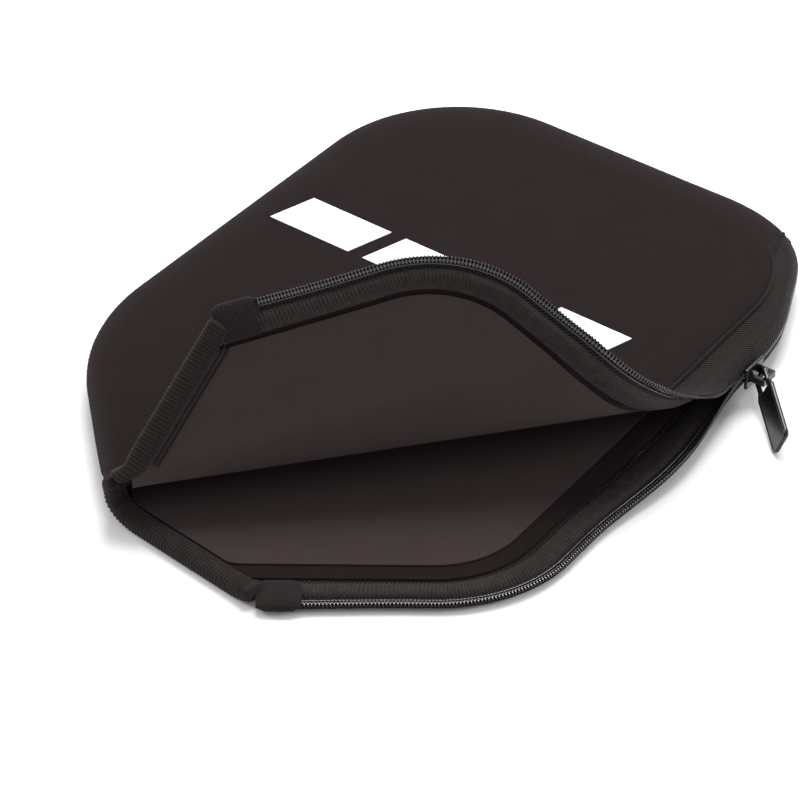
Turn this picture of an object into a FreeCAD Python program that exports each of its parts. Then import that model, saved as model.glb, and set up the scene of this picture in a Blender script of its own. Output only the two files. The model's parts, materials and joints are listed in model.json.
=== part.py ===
import FreeCAD, Part
import math
import os

import Sketcher

# Zipped neoprene head cover for a racket-sport paddle, lying on its back with the front flap peeled open.
# Frame: x = 0 is the paddle's axis, +Y points to the closed top, +Z up, z = 0 is the resting face.
# The front flap peels about fold lines that fan out from one corner of the throat; it is modelled
# closed, in the plane of the front panel, and each fold then places it where it lies when peeled.

DRIVING_SIZES = [
    # outline, as the corners of a polygon that is then rounded
    ("left_reach", 105.0, "left side, from the axis"),
    ("top_reach", 148.0, "closed top edge"),
    ("right_reach_top", 106.8, "zip side, at the top edge"),
    ("right_reach_low", 115.1, "zip side, at the shoulder"),
    ("shoulder_drop_right", 92.8, "zip-side shoulder corner, below the origin"),
    ("shoulder_drop_left", 76.2, "left shoulder corner, below the origin"),
    ("neck_x", 6.0, "point where the two shoulder lines would meet"),
    ("neck_drop", 173.0, "the same point, below the origin"),
    ("top_corner_r", 65.0, "both top corners"),
    ("shoulder_r_right", 58.0, "zip-side shoulder"),
    ("shoulder_r_left", 79.0, "left shoulder"),
    # shell
    ("thickness", 20.0, "whole case, closed"),
    ("foam", 3.0, "neoprene laminate"),
    ("edge_r", 9.0, "outside rounding of the case's edge"),
    ("pocket_edge_r", 6.0, "inside rounding of the case's edge"),
    ("lining", 0.5, "inner lining"),
    ("lining_inset", 11.0, "edge of the lining, from the outline"),
    ("seam_tape_width", 5.0, "tape over the closed seam, inside"),
    ("seam_tape", 0.6, "its thickness"),
    # zip
    ("band_width", 13.0, "zip tape between the panel's edge and the teeth"),
    ("tape", 1.2, "zip tape thickness"),
    ("tape_edge_r", 7.8, "inside rounding of the zip tape"),
    ("overlock_width", 7.0, "overlocked edge where tape and panel are sewn"),
    ("overlock", 1.0, "its height"),
    ("coil_thick", 2.0, "one row of coil, across the tape"),
    ("coil_proud", 0.6, "coil outside the outline"),
    ("coil_high", 2.0, "one row of coil, along the case's thickness"),
    ("coil_gap", 1.4, "between the two rows"),
    ("stop_long", 3.0, "moulded stop at the zip's closed end"),
    ("stop_wide", 3.0, "the stop, across the case's edge"),
    ("zip_top_x", 77.0, "where the zip ends, round the top corner"),
    ("zip_top_y", 137.0, "where the zip ends, round the top corner"),
    # throat
    ("throat_left_x", 33.0, "left throat corner, from the axis"),
    ("throat_left_drop", 139.0, "left throat corner, below the origin"),
    ("throat_slope", 6.0, "degrees, throat line against X"),
    ("hem_width", 8.5, "bound edge of the throat"),
    ("corner_tab", 15.0, "fabric tab over the zip's end"),
    # peel
    ("apex_x", 29.0, "corner that the fold lines fan from, left of the axis"),
    ("apex_drop", 139.4, "corner that the fold lines fan from, below the origin"),
    ("fold_dir_1", 53.0, "degrees from +X"),
    ("fold_dir_2", 48.9, "degrees from +X"),
    ("fold_dir_3", 45.0, "degrees from +X"),
    ("fold_dir_4", 40.8, "degrees from +X"),
    ("fold_dir_5", 36.4, "degrees from +X"),
    ("fold_turn_1", 18.0, "degrees that the flap has turned at this line"),
    ("fold_turn_2", 33.0, "degrees"),
    ("fold_turn_3", 36.0, "degrees"),
    ("fold_turn_4", 26.0, "degrees"),
    ("fold_turn_5", 12.0, "degrees"),
    ("fold_gap", 0.3, "each piece's edge, from its fold line"),
    ("fan_start", 22.0, "where the narrow wedges start, from their corner"),
    # slider and puller
    ("slider_y", 61.0, "middle of the slider"),
    ("slider_long", 12.0, "slider along the zip"),
    ("slider_high", 9.0, "slider across the zip"),
    ("slider_plate", 1.4, "slider plate thickness"),
    ("slider_clear", 0.6, "between slider plates and coil"),
    ("post_high", 0.8, "divider between the rows"),
    ("post_long", 3.0, "divider, along the zip"),
    ("post_root", 0.5, "divider, sunk into the inner plate"),
    ("plate_edge_r", 0.5, "softened edges of the outer plate"),
    ("bridge_rise", 6.2, "bridge above the outer plate"),
    ("bridge_bar", 1.4, "bridge section"),
    ("bridge_long", 8.0, "bridge along the zip"),
    ("puller_long", 36.0, "puller, end to end"),
    ("puller_wide", 10.5, "puller"),
    ("puller_thick", 1.4, "puller"),
    ("puller_bar", 1.3, "cross-bar that hooks under the bridge"),
    ("puller_neck_wide", 7.4, "puller, beside its slot"),
    ("puller_neck_long", 6.0, "from the cross-bar to where the puller widens"),
    ("puller_flare", 3.0, "length over which it widens"),
    ("puller_slot_long", 7.5, "slot in the puller"),
    ("puller_slot_wide", 5.6, "slot in the puller"),
    ("puller_corner_r", 1.2, "puller"),
    # print
    ("mark_left", -85.0, "left end of the printed mark"),
    ("mark_low", 19.5, "lower edge of the printed mark"),
    ("mark_high", 20.0, "height of the printed mark"),
    ("mark_film", 0.3, "print thickness"),
    ("mark_slant", 6.0, "how far the top of each bar leans to the right"),
    # piping along the sewn edge of the front panel
    ("piping_wide", 1.4, "piping"),
    ("piping_lap", 0.2, "its overlap onto the zip tape"),
    ("piping_high", 0.5, "its height over the panel"),
]

MARK_BARS = ((0.0, 38.0), (45.0, 52.0), (118.0, 32.0))  # start and length of each slanted bar
FOLDS = 5
FAR = 400.0  # reach of the cutting regions, well past the case
MARGIN = 5  # how far the cutting slabs stand out past the case
SLICE = 0.1  # bite that separates two pieces of one body
LEVEL = 0.01  # an edge whose ends differ in height by less lies flat
Vector = FreeCAD.Vector
Z_AXIS = Vector(0, 0, 1)

doc = FreeCAD.newDocument("PaddleCase")
sheet = doc.addObject("Spreadsheet::Sheet", "Sizes")
for row, (alias, value, note) in enumerate(DRIVING_SIZES, start=1):
    sheet.set(f"A{row}", alias)
    sheet.set(f"B{row}", str(value))
    sheet.set(f"C{row}", note)
    sheet.setAlias(f"B{row}", alias)
doc.recompute()

nodes = []


def size(alias):
    """The value of one driving size."""
    return float(getattr(sheet, alias))


def keep(obj, label, placement=None):
    """Name an object as one of the case's sub-parts."""
    obj.Label = label
    if placement is not None:
        obj.Placement = placement
    nodes.append(obj)
    return obj


# ---------------------------------------------------------------- building blocks

def outline_sketch():
    """The case's outline: a five-sided polygon with four of its corners rounded."""
    corners = [
        ("-Sizes.left_reach", "Sizes.top_reach", "Sizes.top_corner_r"),
        ("Sizes.right_reach_top", "Sizes.top_reach", "Sizes.top_corner_r"),
        ("Sizes.right_reach_low", "-Sizes.shoulder_drop_right", "Sizes.shoulder_r_right"),
        ("Sizes.neck_x", "-Sizes.neck_drop", None),
        ("-Sizes.left_reach", "-Sizes.shoulder_drop_left", "Sizes.shoulder_r_left"),
    ]
    value = sheet.evalExpression
    points = [Vector(float(value(x)), float(value(y)), 0) for x, y, _ in corners]
    sketch = doc.addObject("Sketcher::SketchObject", "outline")
    count = len(points)
    for i, point in enumerate(points):
        sketch.addGeometry(Part.LineSegment(point, points[(i + 1) % count]), False)
    for i in range(count):
        sketch.addConstraint(Sketcher.Constraint("Coincident", i, 2, (i + 1) % count, 1))
    for i, point in enumerate(points):
        sketch.addConstraint(Sketcher.Constraint("DistanceX", -1, 1, i, 1, point.x))
        sketch.renameConstraint(sketch.ConstraintCount - 1, f"corner_{i}_x")
        sketch.addConstraint(Sketcher.Constraint("DistanceY", -1, 1, i, 1, point.y))
        sketch.renameConstraint(sketch.ConstraintCount - 1, f"corner_{i}_y")
    doc.recompute()
    for i, (_, _, radius) in enumerate(corners):
        if radius is None:
            continue
        before = points[i - 1]
        after = points[(i + 1) % count]
        middle_in = (before + points[i]) * 0.5
        middle_out = (points[i] + after) * 0.5
        arc = sketch.GeometryCount
        sketch.fillet((i - 1) % count, i, middle_in, middle_out, float(value(radius)), True, True, False)
        sketch.addConstraint(Sketcher.Constraint("Radius", arc, float(value(radius))))
        sketch.renameConstraint(sketch.ConstraintCount - 1, f"round_{i}")
        sketch.setExpression(f"Constraints.round_{i}", radius)
    for i, (x, y, _) in enumerate(corners):
        sketch.setExpression(f"Constraints.corner_{i}_x", x)
        sketch.setExpression(f"Constraints.corner_{i}_y", y)
    doc.recompute()
    return sketch


def offset(name, distance):
    """The outline moved inwards by an expression's worth (outwards where it is negative)."""
    shape = doc.addObject("Part::Offset2D", name)
    shape.Source = outline
    shape.Join = "Intersection"
    shape.setExpression("Value", f"-({distance})")
    return shape


def slab(name, base, low, high):
    """A flat outline raised from one height to another."""
    solid = doc.addObject("Part::Extrusion", name)
    solid.Base = base
    solid.DirMode = "Custom"
    solid.Dir = Z_AXIS
    solid.Solid = True
    solid.setExpression("LengthFwd", high)
    solid.setExpression("LengthRev", f"-({low})")
    doc.recompute()
    return solid


def rounded(name, base, radius):
    """Round the top and bottom edges of a slab."""
    solid = doc.addObject("Part::Fillet", name)
    solid.Base = base
    flat = [i for i, edge in enumerate(base.Shape.Edges, start=1)
            if abs(edge.Vertexes[0].Z - edge.Vertexes[-1].Z) < LEVEL]
    solid.Edges = [(i, size(radius), size(radius)) for i in flat]
    doc.recompute()
    return solid


def boolean(kind, name, base, tool):
    """A Part::Cut, Part::Common or Part::Fuse of two objects."""
    solid = doc.addObject(f"Part::{kind}", f"{name}_form")
    solid.Base = base
    solid.Tool = tool
    return solid


def cut(name, base, *tools):
    """Base with each tool taken away."""
    for tool in tools:
        base = boolean("Cut", name, base, tool)
    return base


def common(name, base, *tools):
    """What base shares with every tool."""
    for tool in tools:
        base = boolean("Common", name, base, tool)
    return base


def half_space(name, point, direction, left):
    """A tall box that fills one side of a vertical plane through a point, along a direction in degrees."""
    box = doc.addObject("Part::Box", name)
    box.Length = 2 * FAR
    box.Width = FAR
    box.Height = FAR
    turn = FreeCAD.Rotation(Z_AXIS, direction)
    corner = Vector(-FAR, 0 if left else -FAR, -FAR / 2)
    box.Placement = FreeCAD.Placement(point + turn.multVec(corner), turn)
    return box


def along(direction, distance=1.0):
    """A horizontal step of some length in a direction given in degrees."""
    angle = math.radians(direction)
    return Vector(distance * math.cos(angle), distance * math.sin(angle), 0)


# ---------------------------------------------------------------- forms and regions

outline = outline_sketch()
outer = rounded("outer_form", slab("outer_slab", outline, "0", "Sizes.thickness"), "edge_r")
pocket_edge = offset("pocket_outline", "Sizes.foam")
pocket_slab = slab("pocket_slab", pocket_edge, "Sizes.foam", "Sizes.thickness - Sizes.foam")
pocket = rounded("pocket_form", pocket_slab, "pocket_edge_r")
tape_edge = offset("tape_inside_outline", "Sizes.tape")
tape_slab = slab("tape_inside_slab", tape_edge, "Sizes.tape", "Sizes.thickness - Sizes.tape")
tape_core = rounded("tape_inside_form", tape_slab, "tape_edge_r")

throat_left = Vector(-size("throat_left_x"), -size("throat_left_drop"), 0)
throat_dir = -size("throat_slope")
beyond_throat = half_space("beyond_throat", throat_left, throat_dir, left=False)
hem_start = throat_left + along(throat_dir + 90, size("hem_width"))
near_hem = half_space("near_hem", hem_start, throat_dir, left=False)
tab_start = throat_left + along(throat_dir + 90, size("corner_tab"))
near_tab = half_space("near_tab", tab_start, throat_dir, left=False)

foam_shell = cut("foam_shell", outer, pocket, beyond_throat)
tape_shell = cut("tape_shell", outer, tape_core, beyond_throat)

# The zip runs from the top corner, down the right side and round the shoulder to the throat.
corner_r = size("top_corner_r")
corner_centre = Vector(size("right_reach_top") - corner_r, size("top_reach") - corner_r, 0)
zip_end = Vector(size("zip_top_x"), size("zip_top_y"), 0)
zip_end_dir = math.degrees(math.atan2(zip_end.y - corner_centre.y, zip_end.x - corner_centre.x))
before_zip_end = half_space("before_zip_end", corner_centre, zip_end_dir, left=False)
right_of_neck = half_space("right_of_neck", Vector(size("neck_x"), 0, 0), 90, left=False)
zip_side = common("zip_side", before_zip_end, right_of_neck)
stop_turn = math.degrees((size("stop_long") + 2 * SLICE) / size("top_corner_r"))
before_stop = half_space("before_stop", corner_centre, zip_end_dir - stop_turn, left=False)

bottom = f"-{MARGIN}"
top = f"Sizes.thickness + {MARGIN}"
whole = slab("whole_slab", offset("whole_outline", bottom), bottom, top)
inside_band_edge = offset("inside_band_outline", "Sizes.band_width")
inside_band = slab("inside_band", inside_band_edge, bottom, top)
inside_overlock_edge = offset("inside_overlock_outline", "Sizes.band_width + Sizes.overlock_width")
inside_overlock = slab("inside_overlock", inside_overlock_edge, bottom, top)
band_zone = common("band_zone", cut("band_ring", whole, inside_band), zip_side)
overlock_zone = common("overlock_zone", cut("overlock_ring", inside_band, inside_overlock), zip_side)

middle = "Sizes.thickness / 2"
back_coil_low = f"{middle} - Sizes.coil_gap / 2 - Sizes.coil_high"
back_coil_high = f"{middle} - Sizes.coil_gap / 2"
front_coil_low = f"{middle} + Sizes.coil_gap / 2"
front_coil_high = f"{middle} + Sizes.coil_gap / 2 + Sizes.coil_high"
back_half = slab("back_half", offset("back_half_outline", bottom), bottom, middle)
front_half = slab("front_half", offset("front_half_outline", bottom), middle, top)
back_tape_height = slab("back_tape_height", offset("back_tape_outline", bottom), bottom, back_coil_low)
front_tape_height = slab("front_tape_height", offset("front_tape_outline", bottom), front_coil_high, top)
coil_outside = offset("coil_outside", "-Sizes.coil_proud")
coil_inside = offset("coil_inside", "Sizes.coil_thick - Sizes.coil_proud")

# ---------------------------------------------------------------- one layer each, front and back

back_foam = common("back_foam", foam_shell, back_half)
front_foam = common("front_foam", foam_shell, front_half)
back_skin = cut("back_skin", back_foam, band_zone)
front_skin = cut("front_skin", front_foam, band_zone)
back_tape = common("back_tape", tape_shell, back_tape_height, band_zone)
front_tape = common("front_tape", tape_shell, front_tape_height, band_zone)


def coil_row(name, low, high):
    """One row of coil, as a strip along the outline's zip side."""
    ring = cut(f"{name}_ring", slab(f"{name}_out", coil_outside, low, high),
               slab(f"{name}_in", coil_inside, low, high))
    return cut(f"{name}_row", common(f"{name}_side", ring, zip_side, before_stop), near_hem)


back_coil = coil_row("back_coil", back_coil_low, back_coil_high)
front_coil = coil_row("front_coil", front_coil_low, front_coil_high)

lining_edge = offset("lining_outline", "Sizes.lining_inset")
back_sheet = slab("back_lining_slab", lining_edge, "Sizes.foam", "Sizes.foam + Sizes.lining")
front_sheet = slab("front_lining_slab", lining_edge,
                   "Sizes.thickness - Sizes.foam - Sizes.lining", "Sizes.thickness - Sizes.foam")
back_cloth = cut("back_cloth", back_sheet, band_zone, overlock_zone, beyond_throat)
front_cloth = cut("front_cloth", front_sheet, band_zone, overlock_zone, beyond_throat)
back_lock = slab("back_overlock_slab", inside_band_edge, "Sizes.foam", "Sizes.foam + Sizes.overlock")
front_lock = slab("front_overlock_slab", inside_band_edge,
                  "Sizes.thickness - Sizes.foam - Sizes.overlock", "Sizes.thickness - Sizes.foam")
back_overlock = cut("back_overlock", common("back_lock_zone", back_lock, overlock_zone), beyond_throat)
front_overlock = cut("front_overlock", common("front_lock_zone", front_lock, overlock_zone), beyond_throat)

# ---------------------------------------------------------------- the case's own pieces: the back

keep(cut("back_panel", back_skin, near_hem), "back_panel")
keep(common("back_throat_binding", back_skin, near_hem), "back_throat_binding")
keep(cut("back_lining", back_cloth, near_hem), "back_lining")
keep(cut("back_edge_overlock", back_overlock, near_tab), "back_edge_overlock")
keep(cut("back_zip_tape", back_tape, near_tab), "back_zip_tape")
keep(common("back_corner_tab", back_tape, near_tab), "back_corner_tab")
keep(back_coil, "back_zip_coil")

seam_low = f"{middle} - Sizes.seam_tape_width / 2"
seam_high = f"{middle} + Sizes.seam_tape_width / 2"
seam_in_edge = offset("seam_inside_outline", "Sizes.foam + Sizes.seam_tape")
seam_ring = cut("seam_ring", slab("seam_out", pocket_edge, seam_low, seam_high),
                slab("seam_in", seam_in_edge, seam_low, seam_high))
keep(cut("closed_seam_tape", common("seam_tape", seam_ring, pocket), zip_side, near_hem), "closed_seam_tape")

# ---------------------------------------------------------------- the fixed part of the front

apex = Vector(-size("apex_x"), -size("apex_drop"), 0)
fold_dirs = [size(f"fold_dir_{k}") for k in range(1, FOLDS + 1)]
fold_turns = [size(f"fold_turn_{k}") for k in range(1, FOLDS + 1)]


def beside_fold(name, k, left):
    """The region on one side of fold line k, short of the line by the fold gap."""
    direction = fold_dirs[k - 1]
    step = along(direction + (90 if left else -90), size("fold_gap"))
    return half_space(name, apex + step, direction, left)


fixed_side = beside_fold("fixed_side", 1, left=True)
keep(common("front_panel", front_skin, fixed_side), "front_panel")
keep(common("front_lining", front_cloth, fixed_side), "front_lining")
keep(common("front_edge_overlock", front_overlock, fixed_side), "front_edge_overlock")
keep(common("front_zip_tape", front_tape, fixed_side), "front_zip_tape")
keep(common("front_zip_coil", front_coil, fixed_side), "front_zip_coil")

piping_out = offset("piping_outside", "Sizes.band_width - Sizes.piping_lap")
piping_in = offset("piping_inside", "Sizes.band_width - Sizes.piping_lap + Sizes.piping_wide")
piping_top = "Sizes.thickness + Sizes.piping_high"
piping_ring = cut("piping_ring", slab("piping_out_slab", piping_out, "Sizes.thickness", piping_top),
                  slab("piping_in_slab", piping_in, "Sizes.thickness", piping_top))
piping = cut("piping", common("piping_side", piping_ring, zip_side), beyond_throat)
keep(common("front_piping", piping, fixed_side), "front_piping")


def slanted_bar(name, start, long):
    """One slanted bar of the printed mark, as a thin film on the front panel."""
    high = size("mark_high")
    left = size("mark_left") + start
    low = size("mark_low")
    slant = size("mark_slant")
    corners = [Vector(left, low, 0), Vector(left + long, low, 0),
               Vector(left + long + slant, low + high, 0), Vector(left + slant, low + high, 0)]
    shape = doc.addObject("Sketcher::SketchObject", f"{name}_sketch")
    for i, corner in enumerate(corners):
        shape.addGeometry(Part.LineSegment(corner, corners[(i + 1) % 4]), False)
    for i in range(4):
        shape.addConstraint(Sketcher.Constraint("Coincident", i, 2, (i + 1) % 4, 1))
    return slab(name, shape, "Sizes.thickness", "Sizes.thickness + Sizes.mark_film")


bars = [slanted_bar(f"mark_bar_{i}", start, long) for i, (start, long) in enumerate(MARK_BARS, start=1)]
mark = doc.addObject("Part::MultiFuse", "printed_mark_form")
mark.Shapes = bars
keep(mark, "printed_mark")

# ---------------------------------------------------------------- the peeled front: fan of folds and flap


def fold_placement(k):
    """Where pieces beyond fold line k lie when peeled: the turns about lines 1 to k, one after another."""
    placement = FreeCAD.Placement()
    hinge_point = Vector(apex.x, apex.y, size("thickness"))
    for direction, turn in zip(fold_dirs[:k], fold_turns[:k]):
        spin = FreeCAD.Rotation(along(direction), -turn)
        one = FreeCAD.Placement(hinge_point - spin.multVec(hinge_point), spin)
        placement = placement.multiply(one)
    return placement


fan_core = doc.addObject("Part::Cylinder", "fan_core")
fan_core.setExpression("Radius", "Sizes.fan_start")
fan_core.Height = FAR
fan_core.Placement = FreeCAD.Placement(apex - Vector(0, 0, FAR / 2), FreeCAD.Rotation())

fan_layers = [
    ("fold_panel", front_skin),
    ("fold_lining", front_cloth),
    ("fold_overlock", front_overlock),
    ("fold_zip_tape", front_tape),
    ("fold_zip_coil", front_coil),
]
for k in range(1, FOLDS):
    right = beside_fold(f"fan_{k}_right", k, left=False)
    left = beside_fold(f"fan_{k}_left", k + 1, left=True)
    wedge = cut(f"fan_{k}_wedge", common(f"fan_{k}_both", right, left), fan_core)
    for layer, source in fan_layers:
        keep(common(f"{layer}_{k}", source, wedge), f"{layer}_{k}", fold_placement(k))

flap_side = beside_fold("flap_side", FOLDS, left=False)
flap_place = fold_placement(FOLDS)
keep(cut("flap_panel", common("flap_skin", front_skin, flap_side), near_hem), "flap_panel", flap_place)
keep(cut("flap_lining", common("flap_cloth", front_cloth, flap_side), near_hem), "flap_lining", flap_place)
keep(common("flap_hem_binding", front_skin, flap_side, near_hem), "flap_hem_binding", flap_place)
keep(cut("flap_edge_overlock", common("flap_lock", front_overlock, flap_side), near_tab),
     "flap_edge_overlock", flap_place)
keep(cut("flap_zip_tape", common("flap_tape", front_tape, flap_side), near_tab), "flap_zip_tape", flap_place)
keep(common("flap_corner_tab", front_tape, flap_side, near_tab), "flap_corner_tab", flap_place)
keep(common("flap_zip_coil", front_coil, flap_side), "flap_zip_coil", flap_place)
keep(common("flap_piping", piping, flap_side), "flap_piping", flap_place)

# ---------------------------------------------------------------- zip ends

half = size("thickness") / 2
row_outer = size("coil_gap") / 2 + size("coil_high")
row_middle = size("coil_proud") - size("coil_thick") / 2

# The stop is a small moulded block across both rows, on the round of the top corner.
stop = doc.addObject("Part::Box", "zip_top_stop_block")
stop.setExpression("Length", "Sizes.stop_long")
stop.setExpression("Width", "Sizes.stop_wide")
stop.setExpression("Height", "Sizes.coil_gap + 2 * Sizes.coil_high")
stop_turned = FreeCAD.Rotation(Z_AXIS, zip_end_dir - 90)
stop_corner = Vector(SLICE, -size("stop_wide") / 2, half - row_outer)
stop_point = corner_centre + along(zip_end_dir, size("top_corner_r") + row_middle)
stop_place = FreeCAD.Placement(stop_point + stop_turned.multVec(stop_corner), stop_turned)
keep(stop, "zip_top_stop", stop_place)

# ---------------------------------------------------------------- slider and puller
# The slider rides the straight stretch of the zip. Its own frame: x along the zip towards the open
# end, y away from the case, z across the zip.

edge_top = Vector(size("right_reach_top"), size("top_reach"), 0)
edge_low = Vector(size("right_reach_low"), -size("shoulder_drop_right"), 0)
zip_run = (edge_low - edge_top).normalize()
outward = Vector(-zip_run.y, zip_run.x, 0)
reach = (edge_top.y - size("slider_y")) / -zip_run.y
slider_on_edge = edge_top + zip_run * reach + Vector(0, 0, half)
slider_place = FreeCAD.Placement(slider_on_edge, FreeCAD.Rotation(zip_run, outward, Z_AXIS, "ZXY"))


def body_with_plan(name, corners, high):
    """A PartDesign body: a closed polygon on its XY plane, padded to a height."""
    body = doc.addObject("PartDesign::Body", name)
    sketch = body.newObject("Sketcher::SketchObject", f"{name}_plan")
    plane = [f for f in body.Origin.OriginFeatures if f.Role == "XY_Plane"][0]
    sketch.AttachmentSupport = [(plane, "")]
    sketch.MapMode = "FlatFace"
    count = len(corners)
    for i, (x, y) in enumerate(corners):
        after = corners[(i + 1) % count]
        sketch.addGeometry(Part.LineSegment(Vector(x, y, 0), Vector(after[0], after[1], 0)), False)
    for i in range(count):
        sketch.addConstraint(Sketcher.Constraint("Coincident", i, 2, (i + 1) % count, 1))
    pad = body.newObject("PartDesign::Pad", f"{name}_pad")
    pad.Profile = sketch
    pad.setExpression("Length", high)
    doc.recompute()
    return body, pad


plate_in = size("coil_proud") + size("slider_clear")
plate_out = plate_in + size("slider_plate")
half_long = size("slider_long") / 2
half_high = size("slider_high") / 2


def slider_block(name, low, high):
    """A block of the slider between two corners in the slider's frame."""
    block = doc.addObject("Part::Box", name)
    block.Length = high[0] - low[0]
    block.Width = high[1] - low[1]
    block.Height = high[2] - low[2]
    block.Placement = slider_place.multiply(FreeCAD.Placement(Vector(*low), FreeCAD.Rotation()))
    return block


def softened(name, block, radius):
    """A block with all its edges rounded."""
    solid = doc.addObject("Part::Fillet", f"{name}_form")
    solid.Base = block
    doc.recompute()
    solid.Edges = [(i, radius, radius) for i in range(1, len(block.Shape.Edges) + 1)]
    return solid


outer_plate = slider_block("slider_outer_block", (-half_long, plate_in, -half_high),
                           (half_long, plate_out, half_high))
keep(softened("slider_outer_plate", outer_plate, size("plate_edge_r")), "slider_outer_plate")

inner_out = size("coil_proud") - size("coil_thick") - size("slider_clear") / 2
inner_in = inner_out - size("slider_plate")
inner_plate = slider_block("slider_inner_block", (-half_long, inner_in, -row_outer),
                           (half_long, inner_out, row_outer))
post_low = (half_long - size("post_long"), inner_out - size("post_root"), -size("post_high") / 2)
post = slider_block("slider_post_block", post_low, (half_long, plate_in, size("post_high") / 2))
keep(boolean("Fuse", "slider_inner_plate", inner_plate, post), "slider_inner_plate")

bridge_top = plate_out + size("bridge_rise")
bridge_half = size("bridge_long") / 2
bar = size("bridge_bar")
bridge_block = slider_block("slider_bridge_block", (-bridge_half, plate_out, -bar),
                            (bridge_half, bridge_top, bar))
bridge_hole = slider_block("slider_bridge_hole", (-bridge_half + bar, plate_out - 1, -2 * bar),
                           (bridge_half - bar, bridge_top - bar, 2 * bar))
bridge_solid = boolean("Cut", "slider_bridge_solid", bridge_block, bridge_hole)
keep(bridge_solid, "slider_bridge")

# The puller hooks under the bridge by its cross-bar and hangs outwards, its lower corner near the floor.
puller_axis = Vector(0.32, 0.14, 0.937).normalize()
puller_dir = Vector(0.674, -0.711, -0.23)
puller_dir = (puller_dir - puller_axis * puller_dir.dot(puller_axis)).normalize()
pivot_out = plate_out + (size("bridge_rise") - bar) / 2
pivot = slider_place.multVec(Vector(0, pivot_out, 0))
puller_turn = FreeCAD.Rotation(puller_dir, puller_axis, puller_dir.cross(puller_axis), "XYZ")
puller_place = FreeCAD.Placement(pivot, puller_turn)


def puller_body():
    """The puller: a rounded plate along its own +X with a slot, centred on its cross-bar."""
    bar_half = size("puller_bar") / 2
    wide = size("puller_wide") / 2
    neck = size("puller_neck_wide") / 2
    hook_end = -bar_half
    free_end = size("puller_long") - bar_half
    flare_start = size("puller_neck_long")
    flare_end = flare_start + size("puller_flare")
    lower_side = [(hook_end, -neck), (flare_start, -neck), (flare_end, -wide), (free_end, -wide)]
    upper_side = [(x, -y) for x, y in reversed(lower_side)]
    plan = lower_side + upper_side
    body, pad = body_with_plan("puller_body", plan, "Sizes.puller_thick")
    pad.Midplane = True
    doc.recompute()
    upright = [f"Edge{i}" for i, edge in enumerate(pad.Shape.Edges, start=1)
               if abs(edge.Vertexes[0].Z - edge.Vertexes[-1].Z) > size("puller_thick") / 2]
    corner = body.newObject("PartDesign::Fillet", "puller_corners")
    corner.Base = (pad, upright)
    corner.setExpression("Radius", "Sizes.puller_corner_r")
    doc.recompute()
    sketch = body.newObject("Sketcher::SketchObject", "puller_slot_plan")
    plane = [f for f in body.Origin.OriginFeatures if f.Role == "XY_Plane"][0]
    sketch.AttachmentSupport = [(plane, "")]
    sketch.MapMode = "FlatFace"
    slot_wide = size("puller_slot_wide") / 2
    slot = [(bar_half, -slot_wide), (bar_half + size("puller_slot_long"), -slot_wide),
            (bar_half + size("puller_slot_long"), slot_wide), (bar_half, slot_wide)]
    for i, (x, y) in enumerate(slot):
        after = slot[(i + 1) % 4]
        sketch.addGeometry(Part.LineSegment(Vector(x, y, 0), Vector(after[0], after[1], 0)), False)
    for i in range(4):
        sketch.addConstraint(Sketcher.Constraint("Coincident", i, 2, (i + 1) % 4, 1))
    before = corner.Shape.Volume
    pocket_cut = body.newObject("PartDesign::Pocket", "puller_slot")
    pocket_cut.Profile = sketch
    pocket_cut.Midplane = True
    pocket_cut.setExpression("Length", "4 * Sizes.puller_thick")
    doc.recompute()
    if pocket_cut.Shape.Volume >= before:
        raise SystemExit("the puller's slot cuts nothing")
    return body


keep(puller_body(), "puller", puller_place)

# ---------------------------------------------------------------- check and write

doc.recompute()
for obj in doc.Objects:
    if "Invalid" in obj.State or "Error" in obj.State:
        raise SystemExit(f"{obj.Name}: {obj.State}")
os.makedirs("parts", exist_ok=True)
for node in nodes:
    if node.Shape.isNull() or not node.Shape.isValid() or not node.Shape.Solids:
        raise SystemExit(f"{node.Label} has no valid solid")
    node.Shape.exportStep(f"parts/{node.Label}.step")
print(len(nodes), "nodes")
for k in range(1, FOLDS + 1):
    before = fold_placement(k - 1)
    hinge_point = before.multVec(Vector(apex.x, apex.y, size("thickness")))
    hinge_axis = before.Rotation.multVec(along(fold_dirs[k - 1]))
    print("fold", k, [round(v, 6) for v in hinge_point], [round(v, 6) for v in hinge_axis], fold_turns[k - 1])
print("puller pivot", [round(v, 4) for v in pivot], [round(v, 6) for v in puller_axis])
print("zip run", [round(v, 6) for v in zip_run])
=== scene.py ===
"""Zipped neoprene paddle cover with its front flap peeled open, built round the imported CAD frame.

Lengths in the shape code are millimetres and become metres when a mesh is made. The front flap is
described lying closed, in the plane of the front panel, and fan() carries it to where it lies when peeled.
"""

import json
import math

import bmesh
import bpy
import numpy as np
from mathutils import Matrix, Vector


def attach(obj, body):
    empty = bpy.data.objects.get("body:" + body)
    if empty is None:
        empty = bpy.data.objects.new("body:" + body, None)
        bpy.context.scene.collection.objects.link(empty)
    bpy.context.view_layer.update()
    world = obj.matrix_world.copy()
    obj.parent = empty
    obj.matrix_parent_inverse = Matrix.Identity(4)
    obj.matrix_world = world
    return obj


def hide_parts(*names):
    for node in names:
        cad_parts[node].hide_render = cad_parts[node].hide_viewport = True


MM = 0.001
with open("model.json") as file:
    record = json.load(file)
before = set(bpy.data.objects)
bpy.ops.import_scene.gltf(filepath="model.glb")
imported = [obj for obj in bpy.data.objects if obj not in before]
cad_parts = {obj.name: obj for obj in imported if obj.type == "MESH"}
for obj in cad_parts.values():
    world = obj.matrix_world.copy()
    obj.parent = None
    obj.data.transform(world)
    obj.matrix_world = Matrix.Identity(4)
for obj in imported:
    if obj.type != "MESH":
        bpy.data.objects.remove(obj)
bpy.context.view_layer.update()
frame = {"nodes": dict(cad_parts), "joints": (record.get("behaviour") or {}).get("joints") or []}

# ------ sizes in mm
THICK = 20.0          # closed case
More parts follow.
